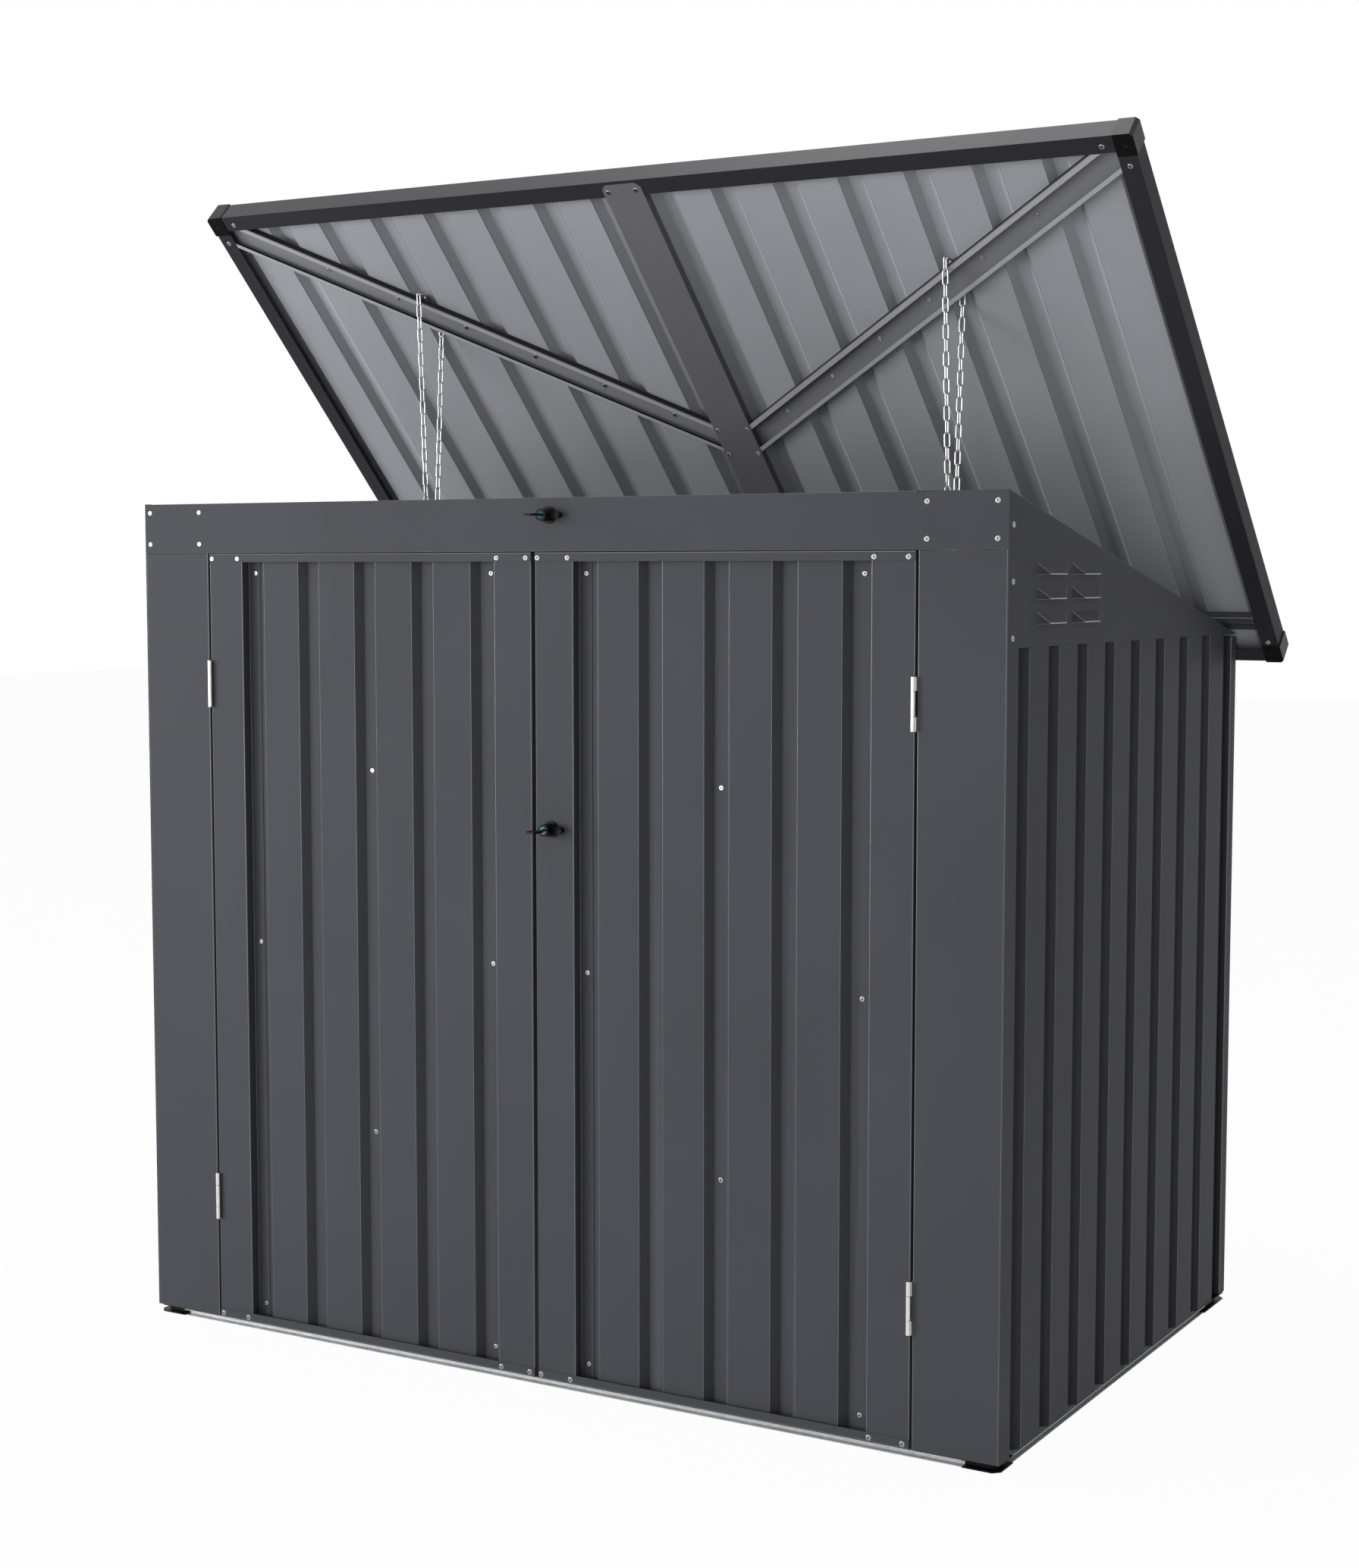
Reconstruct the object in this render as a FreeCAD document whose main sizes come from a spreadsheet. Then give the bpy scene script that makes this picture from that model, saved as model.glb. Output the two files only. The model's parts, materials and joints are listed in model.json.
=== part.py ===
"""Double wheelie bin store of folded and ribbed sheet, with its lid raised and its doors shut.

Millimetres, +Z up, front towards -Y. X is 0 in the middle of the store, Z is 0 on the ground.
Pieces are drawn with the store's front face at Y = 0 and their Placement moves them back, so
that the origin ends up under the middle of the whole object. The pieces of the lid are drawn
flat, about the lid's hinge axis, and their Placement raises them.
"""
import FreeCAD, Part
import math
import os
import Sketcher

os.makedirs("parts", exist_ok=True)
doc = FreeCAD.newDocument("bin_store")
sheet = doc.addObject("Spreadsheet::Sheet", "sizes")


class Size:
    """A length that knows its value and the spreadsheet formula that gives it."""

    def __init__(self, value, formula):
        self.value = float(value)
        self.formula = formula

    def __float__(self):
        return self.value

    def __add__(self, other):
        return Size(self.value + float(other), "(%s + %s)" % (self.formula, formula_of(other)))

    def __radd__(self, other):
        return Size(float(other) + self.value, "(%s + %s)" % (formula_of(other), self.formula))

    def __sub__(self, other):
        return Size(self.value - float(other), "(%s - %s)" % (self.formula, formula_of(other)))

    def __rsub__(self, other):
        return Size(float(other) - self.value, "(%s - %s)" % (formula_of(other), self.formula))

    def __mul__(self, other):
        return Size(self.value * float(other), "(%s * %s)" % (self.formula, formula_of(other)))

    __rmul__ = __mul__

    def __truediv__(self, other):
        return Size(self.value / float(other), "(%s / %s)" % (self.formula, formula_of(other)))

    def __neg__(self):
        return Size(-self.value, "(0 - %s)" % self.formula)


def formula_of(length):
    """The text that stands for a length in an expression."""
    return length.formula if isinstance(length, Size) else "(%r)" % float(length)


def size(alias, value):
    """A driving dimension: one cell of the sheet, and the Size that refers to it."""
    size.row += 1
    cell = "A%d" % size.row
    sheet.set(cell, repr(float(value)))
    sheet.setAlias(cell, alias)
    return Size(value, "sizes." + alias)


size.row = 0

# Overall form
width = size("width", 1500)
depth = size("depth", 964)
front_height = size("front_height", 1327.5)
rear_height = size("rear_height", 1119.6)
back_height = size("back_height", 1113.8)
setback = size("setback", 479.85)
gauge = size("sheet_gauge", 1.0)
thin = size("thin_gauge", 0.8)
# Ground frame
rail_level = size("rail_level", 12)
rail_top = size("rail_top", 10.7)
foot_leg = size("foot_leg", 55)
foot_breadth = size("foot_breadth", 36)
foot_front_leg = size("foot_front_leg", 51)
foot_rear_leg = size("foot_rear_leg", 104)
# Front frame
jamb = size("jamb", 620)
fold_depth = size("fold_depth", 25)
header_bottom = size("header_bottom", 1249.3)
# Sides
rib_depth = size("rib_depth", 12)
wall_run = size("wall_run", 11)
side_pitch = size("side_pitch", 107.3)
side_crest = size("side_crest", 68)
back_pitch = size("back_pitch", 108)
gable_bottom = size("gable_bottom", 1118.5)
leg_depth = size("leg_depth", 37)
# Louvres
louvre_length = size("louvre_length", 107)
louvre_rise = size("louvre_rise", 16.2)
louvre_reach = size("louvre_reach", 10)
louvre_pitch = size("louvre_pitch", 33.4)
louvre_lip = size("louvre_lip", 60)
louvre_shoulder = size("louvre_shoulder", 5.8)
# Doors
door_inner = size("door_inner", 3.6)
door_outer = size("door_outer", 616)
door_bottom = size("door_bottom", 11.7)
door_top = size("door_top", 1248)
stile_face = size("stile_face", 66)
stile_flange = size("stile_flange", 22)
panel_step = size("panel_step", 18)
door_pitch = size("door_pitch", 108.9)
door_crest = size("door_crest", 68.4)
strap_breadth = size("strap_breadth", 26)
strap_gauge = size("strap_gauge", 1.5)
# Door hinges
door_axis_inset = size("door_axis_inset", 615.5)
door_axis_front = size("door_axis_front", 4)
# Lid, flat: run is measured from its hinge towards the front, level upwards from its underside
lid_angle = size("lid_angle", 44.82)
axis_depth = size("axis_depth", 937.6)
axis_height = size("axis_height", 1131.6)
axis_run = size("axis_run", 45)
axis_level = size("axis_level", 5)
lid_half = size("lid_half", 819.8)
lid_front = size("lid_front", 1019.2)
lid_rear = size("lid_rear", 33)
lid_flange = size("lid_flange", 28)
lid_depth = size("lid_depth", 35.2)
cap_edge = size("cap_edge", 792)
cap_wall = size("cap_wall", 1.5)
cap_length = size("cap_length", 36.7)
pan_level = size("pan_level", 12)
roof_pitch = size("roof_pitch", 107.1)
strip_left = size("strip_left", 36.75)
strip_right = size("strip_right", 32.75)
brace_start = size("brace_start", 467)
brace_slope = size("brace_slope", 0.655)
brace_half = size("brace_half", 30.5)
hat_front = size("hat_front", 70.8)
hat_rear = size("hat_rear", 58)
# Chain
wire = size("wire", 2.5)
link_breadth = size("link_breadth", 11)
link_pitch = size("link_pitch", 20)
chain_end = 1141
# Screws and locks
head_radius = size("head_radius", 4.5)
head_rise = size("head_rise", 2.2)
thread_flats = size("thread_flats", 16)
door_cam_reach = size("door_cam_reach", 38)
lid_cam_reach = size("lid_cam_reach", 20)
doc.recompute()

half = width / 2
inside_half = half - 1
roof_slope = (front_height - rear_height) / (depth - 13)
kept = []


def vector(*numbers):
    """A vector of plain numbers from sizes or numbers."""
    return FreeCAD.Vector(*[float(number) for number in numbers])


def bind(item, path, length):
    """Bind a property to the sheet, or set it where it is a bare number."""
    if isinstance(length, Size):
        item.setExpression(path, length.formula)
    else:
        setattr(item, path, float(length))


def on_store(item, across=0, back=0, up=0):
    """Place a piece of the store: its own offset, then the setback of the whole."""
    item.Placement = FreeCAD.Placement(vector(across, back - setback, up), FreeCAD.Rotation())
    item.setExpression("Placement.Base.x", formula_of(across))
    item.setExpression("Placement.Base.y", formula_of(back - setback))
    item.setExpression("Placement.Base.z", formula_of(up))


def on_lid(item):
    """Place a piece of the lid: turned up about the hinge axis."""
    turn = FreeCAD.Rotation(FreeCAD.Vector(-1, 0, 0), float(lid_angle))
    item.Placement = FreeCAD.Placement(vector(0, axis_depth - setback, axis_height), turn)
    item.setExpression("Placement.Base.y", formula_of(axis_depth - setback))
    item.setExpression("Placement.Base.z", formula_of(axis_height))
    item.setExpression("Placement.Rotation.Angle", formula_of(lid_angle))


def keep(label, item, place=on_store):
    """Label a finished sub-part, place it and put it on the list that is written out."""
    item.Label = label
    if place:
        place(item)
    kept.append(item)
    return item


def new_body():
    """An empty body."""
    return doc.addObject("PartDesign::Body", "body")


PLANES = {"x": "YZ_Plane", "y": "XZ_Plane", "z": "XY_Plane"}


def new_sketch(body, axis, level):
    """An empty sketch square to an axis, at a level along it.

    Its own directions are Y, Z on "x"; X, Z on "y" and X, Y on "z". The plane of "y" looks
    backwards, so its offset is reversed.
    """
    sketch = body.newObject("Sketcher::SketchObject", "outline")
    plane = [item for item in body.Origin.OriginFeatures if item.Role == PLANES[axis]][0]
    sketch.AttachmentSupport = [(plane, "")]
    sketch.MapMode = "FlatFace"
    offset = -level if axis == "y" else level
    sketch.AttachmentOffset = FreeCAD.Placement(vector(0, 0, offset), FreeCAD.Rotation())
    if isinstance(offset, Size):
        sketch.setExpression("AttachmentOffset.Base.z", offset.formula)
    return sketch


def draw_outline(sketch, points):
    """Draw a closed outline whose every corner is tied to the sheet."""
    first = sketch.GeometryCount
    count = len(points)
    corners = [vector(point[0], point[1], 0) for point in points]
    lines = [Part.LineSegment(corners[i], corners[(i + 1) % count]) for i in range(count)]
    sketch.addGeometry(lines, False)
    rules = []
    for i in range(count):
        following = first + (i + 1) % count
        rules.append(Sketcher.Constraint("Coincident", first + i, 2, following, 1))
    for i, point in enumerate(points):
        rules.append(Sketcher.Constraint("DistanceX", -1, 1, first + i, 1, float(point[0])))
        rules.append(Sketcher.Constraint("DistanceY", -1, 1, first + i, 1, float(point[1])))
    before = sketch.ConstraintCount
    sketch.addConstraint(rules)
    for i, point in enumerate(points):
        for side in (0, 1):
            if isinstance(point[side], Size):
                place = before + count + 2 * i + side
                sketch.setExpression("Constraints[%d]" % place, point[side].formula)


def outline(body, axis, level, points):
    """A sketch with one closed outline."""
    sketch = new_sketch(body, axis, level)
    draw_outline(sketch, points)
    return sketch


def extrude(body, axis, points, start, stop):
    """Pad an outline along an axis, from start to stop."""
    pad = body.newObject("PartDesign::Pad", "pad")
    pad.Profile = outline(body, axis, stop if axis == "y" else start, points)
    bind(pad, "Length", stop - start)
    return pad


def cut(body, axis, points, start, stop):
    """Pocket an outline out of the body along an axis, from start to stop."""
    pocket = body.newObject("PartDesign::Pocket", "pocket")
    pocket.Profile = outline(body, axis, start if axis == "y" else stop, points)
    bind(pocket, "Length", stop - start)
    return pocket


def turned(body, axis, profile):
    """Turn a closed profile of (radius, station) about an axis of the body."""
    if axis == "x":
        sketch = outline(body, "z", 0, [(station, radius) for radius, station in profile])
    else:
        sketch = outline(body, "z" if axis == "y" else "y", 0, profile)
    feature = body.newObject("PartDesign::Revolution", "turned")
    feature.Profile = sketch
    feature.ReferenceAxis = (sketch, ["H_Axis" if axis == "x" else "V_Axis"])
    feature.Angle = 360
    return feature


def box(low_x, high_x, low_y, high_y):
    """The four corners of a rectangle."""
    return [(low_x, low_y), (high_x, low_y), (high_x, high_y), (low_x, high_y)]


# The small round parts and their holes have this many sides, so that the whole stays light.
SIDES = 12


def polygon(sides, across_flats):
    """The corners of a regular polygon, with a flat face on its first direction."""
    reach = across_flats / 2 / math.cos(math.pi / sides)
    turns = [2 * math.pi * (k + 0.5) / sides for k in range(sides)]
    return [(reach * math.cos(turn), reach * math.sin(turn)) for turn in turns]


def folded(line, thickness):
    """The closed outline of sheet folded along a line, its thickness to the left of travel."""
    normals = []
    for start, end in zip(line, line[1:]):
        run = float(end[0]) - float(start[0])
        rise = float(end[1]) - float(start[1])
        length = math.hypot(run, rise)
        normals.append((-rise / length, run / length))
    inner = []
    for i, point in enumerate(line):
        before = normals[max(i - 1, 0)]
        after = normals[min(i, len(normals) - 1)]
        scale = 1 + before[0] * after[0] + before[1] * after[1]
        inner.append((
            point[0] + thickness * ((before[0] + after[0]) / scale),
            point[1] + thickness * ((before[1] + after[1]) / scale),
        ))
    return list(line) + inner[::-1]


def swapped(line):
    """A profile with its two directions exchanged."""
    return [(second, first) for first, second in line]


def mirrored(source):
    """The left-hand twin of a right-hand piece."""
    twin = doc.addObject("Part::Mirroring", "twin")
    twin.Source = source
    twin.Normal = (1, 0, 0)
    twin.Base = (0, 0, 0)
    return twin


def group(label, pieces):
    """Several identical or paired solids that share one node."""
    compound = doc.addObject("Part::Compound", "group")
    compound.Links = pieces
    return keep(label, compound, None)


def scattered(label, pattern, places, place):
    """Copies of one piece at many placements, as one node."""
    doc.recompute()
    feature = doc.addObject("Part::Feature", "copies")
    shapes = []
    for spot in places:
        shape = pattern.Shape.copy()
        shape.Placement = spot
        shapes.append(shape)
    feature.Shape = Part.makeCompound(shapes)
    return keep(label, feature, place)


def ribbed(start, end, crests, crest, valley, level, height):
    """The line of a ribbed sheet: flat at level, with crests of the given width at height."""
    line = [(start, level)]
    for middle in crests:
        line += [
            (middle - crest / 2 - valley, level),
            (middle - crest / 2, level + height),
            (middle + crest / 2, level + height),
            (middle + crest / 2 + valley, level),
        ]
    return line + [(end, level)]


# Ground frame

def make_foot(rear):
    """A right-hand corner foot: an L of two plates with a recessed core between them."""
    foot = new_body()
    leg = foot_rear_leg if rear else foot_front_leg
    corner = 10
    recess = 13

    def plan(inset, back_inset):
        edge = half - inset
        near = depth - inset if rear else Size(0, "0") + inset
        turn = -1 if rear else 1
        return [
            (half - foot_leg, near),
            (edge - (corner if inset == 0 else 0), near),
            (edge, near + turn * (corner if inset == 0 else 0)),
            (edge, near + turn * (leg - back_inset)),
            (half - foot_breadth, near + turn * (leg - back_inset)),
            (half - foot_breadth, near + turn * (foot_breadth - inset)),
            (half - foot_leg, near + turn * (foot_breadth - inset)),
        ]

    def core():
        points = plan(recess, recess)
        return points[:1] + points[2:]

    plate = 2
    extrude(foot, "z", plan(0, 0), 0, plate)
    extrude(foot, "z", core(), plate, rail_level - 1.5)
    extrude(foot, "z", plan(0, 0), rail_level - 1.5, rail_level)
    on_store(foot)
    return foot


def make_ground_frame():
    """Four feet, and four galvanised channels between them that open outwards."""
    front_foot = make_foot(False)
    rear_foot = make_foot(True)
    group("corner_feet", [front_foot, mirrored(front_foot), rear_foot, mirrored(rear_foot)])

    web = 14.5
    lip = 2.6
    reach = half - foot_leg
    front_rail = new_body()
    channel = folded([(lip, 0), (web, 0), (web, rail_top), (0, rail_top)], gauge)
    extrude(front_rail, "x", channel, -reach, reach)
    keep("base_front_rail", front_rail)

    rear_rail = new_body()
    line = [(depth, rail_level), (depth - web, rail_level), (depth - web, 0), (depth - lip, 0)]
    extrude(rear_rail, "x", folded(line, gauge), -reach, reach)
    keep("base_rear_rail", rear_rail)

    side_rail = new_body()
    line = [(half, rail_level), (half - web, rail_level), (half - web, 0), (half - lip, 0)]
    extrude(side_rail, "y", folded(line, gauge), foot_front_leg, depth - foot_rear_leg)
    on_store(side_rail)
    group("base_side_rails", [side_rail, mirrored(side_rail)])


# Front frame

lid_lock_across = 28
lid_lock_height = 1302
door_lock_across = 30
door_lock_height = 842


def lock_hole(across, height):
    """The hole that a lock's thread passes through."""
    return [(across + x, height + z) for x, z in polygon(SIDES, thread_flats + 0.6)]


def make_front_frame():
    """Two folded pillars and the header between them."""
    pillar = new_body()
    line = [
        (jamb + 14, fold_depth), (jamb, fold_depth), (jamb, 0),
        (inside_half, 0), (inside_half, leg_depth - 1),
    ]
    extrude(pillar, "z", folded(line, gauge), rail_level, header_bottom)
    keep("front_pillar_right", pillar)
    keep("front_pillar_left", mirrored(pillar), None)

    header = new_body()
    line = [
        (fold_depth, front_height - roof_slope * fold_depth), (0, front_height),
        (0, header_bottom), (fold_depth, header_bottom),
    ]
    shoulder = inside_half - 12
    extrude(header, "x", folded(line, gauge), -shoulder, shoulder)
    extrude(header, "y", box(-inside_half, inside_half, header_bottom, front_height - 0.4), 0, gauge)
    cut(header, "y", lock_hole(lid_lock_across, lid_lock_height), 0, gauge)
    keep("header", header)


# Sides and back

panel_face = half - 13


def make_rear_frame():
    """Two folded posts, and the channel across their tops that carries the lid."""
    post = new_body()
    tab = panel_face - thin
    line = [
        (tab, depth - 42), (tab, depth - 27), (inside_half, depth - 27),
        (inside_half, depth - 1), (inside_half - 37, depth - 1),
    ]
    extrude(post, "z", folded(line, gauge), rail_level, back_height - gauge)
    keep("rear_post_right", post)
    keep("rear_post_left", mirrored(post), None)

    rail = new_body()
    skirt = back_height - 19.6
    front = depth - 36
    line = [(front, skirt), (front, back_height), (depth, back_height), (depth, skirt)]
    extrude(rail, "x", folded(line, -gauge), 15 - half, half - 15)
    extrude(rail, "y", box(-inside_half, inside_half, skirt, back_height), depth - gauge, depth)
    keep("rear_top_rail", rail)


def make_panels():
    """Ribbed side panels and back panel."""
    side = new_body()
    first_crest = 111.6
    crests = [first_crest + side_pitch * k for k in range(8)]
    line = ribbed(leg_depth, depth - 27, crests, side_crest, wall_run, panel_face, rib_depth)
    outer = folded(line, -thin)
    extrude(side, "z", swapped(outer), rail_level, gable_bottom + 2.5)
    keep("side_panel_right", side)
    keep("side_panel_left", mirrored(side), None)

    back = new_body()
    crest = 68
    crests = [back_pitch * (k - 6.5) for k in range(14)]
    line = ribbed(15 - half, half - 15, crests, crest, wall_run, depth - 14, rib_depth)
    # The outermost crests run on to the cut ends of the sheet.
    line = [(15 - half, depth - 2)] + line[3:-3] + [(half - 15, depth - 2)]
    extrude(back, "z", folded(line, -thin), rail_level, back_height - gauge)
    keep("back_panel", back)


def wedge(body, kind, spot, foot, lip, reach):
    """Add or cut a hood shape: a rectangle at the plate that tapers to the lip's rectangle.

    Its own X runs to the front and its own Y outwards; foot and lip are (length, rise).
    """
    feature = body.newObject("PartDesign::" + kind, "hood")
    turn = FreeCAD.Rotation(FreeCAD.Vector(0, 0, 1), -90)
    feature.Placement = FreeCAD.Placement(vector(*spot), turn)
    for name, length in (
            ("Xmin", -foot[0] / 2), ("Xmax", foot[0] / 2), ("Ymin", 0), ("Ymax", reach),
            ("Zmin", 0), ("Zmax", foot[1]), ("X2min", -lip[0] / 2), ("X2max", lip[0] / 2),
            ("Z2min", 0), ("Z2max", lip[1])):
        bind(feature, name, length)


def press_louvre(body, middle, foot):
    """Press one louvre out of the gable: a hood that is open at its bottom edge."""
    lip = 1.5
    wall = float(thin)
    wedge(
        body, "AdditiveWedge", (half, middle, foot), (louvre_length, louvre_rise),
        (louvre_lip, lip), louvre_reach)
    # The hollow starts behind the plate, so that it opens the plate too.
    behind = gauge + 0.2
    inner_foot = (louvre_length - 2 * louvre_shoulder, louvre_rise - wall)
    inner_lip = (louvre_lip - 2 * wall, lip - wall)
    wedge(
        body, "SubtractiveWedge", (half - behind, middle, foot), inner_foot, inner_lip,
        louvre_reach + behind - wall)


def make_gables():
    """The sloping upper sides: plate, front leg, top lip and two banks of three louvres."""
    gable = new_body()
    slope_end = depth - 24
    # The rear end stops short of the back, where the raised lid dips past the corner.
    rear_end = depth - 7
    plate = [
        (0, rail_level), (leg_depth, rail_level), (leg_depth, gable_bottom),
        (rear_end, gable_bottom), (rear_end, rear_height),
        (slope_end, front_height + 0.7 - roof_slope * slope_end), (0, front_height + 0.7),
    ]
    extrude(gable, "x", plate, inside_half, half)
    flange_edge = panel_face - thin
    line = [(inside_half, leg_depth), (flange_edge, leg_depth), (flange_edge, leg_depth + 15)]
    extrude(gable, "z", folded(line, gauge), rail_level, gable_bottom)
    lip_start = 1.3
    lip_stop = 925
    line = [
        (lip_start, front_height + 0.7 - roof_slope * lip_start),
        (lip_stop, front_height + 0.7 - roof_slope * lip_stop),
    ]
    extrude(gable, "x", folded(line, -gauge), inside_half - 11, inside_half)
    doc.recompute()
    for middle in (152.5, 280.5):
        for row in range(3):
            press_louvre(gable, middle, 1215.8 - louvre_pitch * row)
    keep("gable_right", gable)
    keep("gable_left", mirrored(gable), None)


# Doors

def make_door_frame():
    """The right door's stiles, rails and crossed straps. The left door's are their twins."""
    hinge_stile = new_body()
    face = door_outer - stile_face
    line = [
        (face - stile_flange, panel_step - gauge), (face, panel_step - gauge), (face, 0),
        (door_outer, 0), (door_outer, 12),
    ]
    low = door_bottom + gauge
    high = door_top - gauge
    extrude(hinge_stile, "z", folded(line, gauge), low, high)
    keep("right_door_hinge_stile", hinge_stile)
    keep("left_door_hinge_stile", mirrored(hinge_stile), None)

    meeting_stile = new_body()
    face = door_inner + stile_face
    line = [
        (door_inner, 12), (door_inner, 0), (face, 0), (face, panel_step - gauge),
        (face + stile_flange, panel_step - gauge),
    ]
    extrude(meeting_stile, "z", folded(line, gauge), low, high)
    on_store(meeting_stile)
    plain_twin = mirrored(meeting_stile)
    drilled = new_body()
    extrude(drilled, "z", folded(line, gauge), low, high)
    cut(drilled, "y", lock_hole(door_lock_across, door_lock_height), 0, gauge)
    keep("right_door_meeting_stile", drilled)
    keep("left_door_meeting_stile", plain_twin, None)

    rail_rise = 13.2
    back = 20.6
    bottom_rail = new_body()
    line = [
        (-gauge, door_bottom + rail_rise), (-gauge, door_bottom), (back, door_bottom),
        (back, door_bottom + rail_rise),
    ]
    extrude(bottom_rail, "x", folded(line, gauge), door_inner, door_outer)
    on_store(bottom_rail)
    top_rail = new_body()
    line = [
        (back, door_top - rail_rise), (back, door_top), (-gauge, door_top),
        (-gauge, door_top - rail_rise),
    ]
    extrude(top_rail, "x", folded(line, gauge), door_inner, door_outer)
    on_store(top_rail)
    group("right_door_rails", [bottom_rail, top_rail])
    group("left_door_rails", [mirrored(bottom_rail), mirrored(top_rail)])

    near = 82
    far = 536
    first = panel_step + thin
    straps = []
    for layer, (start_x, end_x) in enumerate(((near, far), (far, near))):
        for high_z, low_z in ((1218, 640), (622, 40)):
            strap = new_body()
            front = first + layer * strap_gauge
            extrude(strap, "y", strap_outline((start_x, high_z), (end_x, low_z)), front, front + strap_gauge)
            on_store(strap)
            straps.append(strap)
    group("right_door_braces", straps)
    group("left_door_braces", [mirrored(strap) for strap in straps])


def strap_outline(start, end):
    """A flat strap between two screws, running a little past each."""
    past = 8
    run = end[0] - start[0]
    rise = end[1] - start[1]
    length = math.hypot(run, rise)
    along = (run / length, rise / length)
    aside = (-along[1], along[0])
    corners = []
    for screw, step, side in ((start, -past, 1), (start, -past, -1), (end, past, -1), (end, past, 1)):
        corners.append((
            strap_breadth * (side * aside[0] / 2) + screw[0] + along[0] * step,
            strap_breadth * (side * aside[1] / 2) + screw[1] + along[1] * step,
        ))
    return corners


def make_door_panel(label, middle):
    """A ribbed infill panel: four crests about a middle line."""
    panel = new_body()
    frame_middle = 310 if middle > 0 else -310
    crests = [middle + door_pitch * (k - 1.5) for k in range(4)]
    line = ribbed(
        frame_middle - 250, frame_middle + 250, crests, door_crest, wall_run, panel_step, -rib_depth)
    extrude(panel, "z", folded(line, thin), door_bottom + gauge, door_top - gauge)
    keep(label, panel)


knuckle_radius = 3.6
knuckle_bore = 1.62
door_pin_radius = 1.44
knuckle_gap = 0.5
# Each door hinge: the heights of the ends of its three knuckles.
DOOR_HINGES = ((1005, 1025, 1060, 1079), (174, 194, 229, 249))


def knuckle(body, axis, radius, bore, start, stop):
    """The barrel of a hinge knuckle, rolled about the body's axis."""
    sketch = new_sketch(body, axis, start)
    draw_outline(sketch, polygon(SIDES, 2 * radius))
    draw_outline(sketch, polygon(SIDES, 2 * bore))
    pad = body.newObject("PartDesign::Pad", "knuckle")
    pad.Profile = sketch
    bind(pad, "Length", stop - start)


def door_leaf(low, high, fixed):
    """One knuckle with the strip of leaf behind it, about the hinge axis."""
    leaf = new_body()
    axis_x = door_axis_inset
    front = door_axis_front
    if fixed:
        strip = box(jamb - 1.2 - axis_x, jamb - axis_x, 0, front + 20)
    else:
        strip = box(door_outer - axis_x, door_outer + 1.2 - axis_x, 0, front + 12)
    extrude(leaf, "z", strip, low, high)
    cut(leaf, "z", polygon(SIDES, 2 * knuckle_bore), low, high)
    knuckle(leaf, "z", knuckle_radius, knuckle_bore, low, high)
    on_store(leaf, door_axis_inset, -door_axis_front)
    return leaf


def make_door_hinges():
    """Slim three-knuckle hinges, two on each door, outside the door's face."""
    fixed = []
    moving = []
    for lowest, low, high, highest in DOOR_HINGES:
        fixed.append(door_leaf(lowest, low, True))
        fixed.append(door_leaf(high, highest, True))
        moving.append(door_leaf(low + knuckle_gap, high - knuckle_gap, False))
    group("door_hinge_fixed_leaves", fixed + [mirrored(leaf) for leaf in fixed])
    group("right_door_hinge_leaves", moving)
    group("left_door_hinge_leaves", [mirrored(leaf) for leaf in moving])


def make_pin(axis, radius, start, stop):
    """An eight-sided hinge pin, flush with the outer knuckles."""
    pin = new_body()
    extrude(pin, axis, polygon(8, 2 * radius), start, stop)
    return pin


# Lid

def front_of(run):
    """The drawing's Y of a place on the flat lid."""
    return axis_run - run


def above(level):
    """The drawing's Z of a level of the flat lid."""
    return level - axis_level


def on_section(line):
    """A line of (run, level) as the drawing's Y and Z."""
    return [(front_of(run), above(level)) for run, level in line]


def on_plan(line):
    """A line of (across, run) as the drawing's X and Y."""
    return [(across, front_of(run)) for across, run in line]


def make_lid_frame():
    """Four folded channels and the plastic caps that join them at the corners."""
    inner = lid_front - lid_flange
    front = new_body()
    line = [(inner, 0), (lid_front, 0), (lid_front, lid_depth), (inner, lid_depth)]
    extrude(front, "x", folded(on_section(line), -gauge), -cap_edge, cap_edge)
    keep("lid_front_rail", front, on_lid)

    rear = new_body()
    inner = lid_flange - lid_rear
    line = [(inner, 0), (-lid_rear, 0), (-lid_rear, lid_depth), (inner, lid_depth)]
    extrude(rear, "x", folded(on_section(line), gauge), -cap_edge, cap_edge)
    keep("lid_rear_rail", rear, on_lid)

    front_cap_run = lid_front + cap_wall - cap_length
    rear_cap_run = cap_length - lid_rear - cap_wall
    side = new_body()
    inner = lid_half - lid_flange
    line = [
        (inner, above(0)), (lid_half, above(0)), (lid_half, above(lid_depth)),
        (inner, above(lid_depth)),
    ]
    extrude(side, "y", folded(line, gauge), front_of(front_cap_run), front_of(rear_cap_run))
    on_lid(side)
    group("lid_side_rails", [side, mirrored(side)])

    caps = []
    for outer_run, inner_run in (
            (lid_front + cap_wall, front_cap_run), (-lid_rear - cap_wall, rear_cap_run)):
        caps.append(make_lid_cap(outer_run, inner_run))
    group("lid_corner_caps", caps + [mirrored(cap) for cap in caps])


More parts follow.
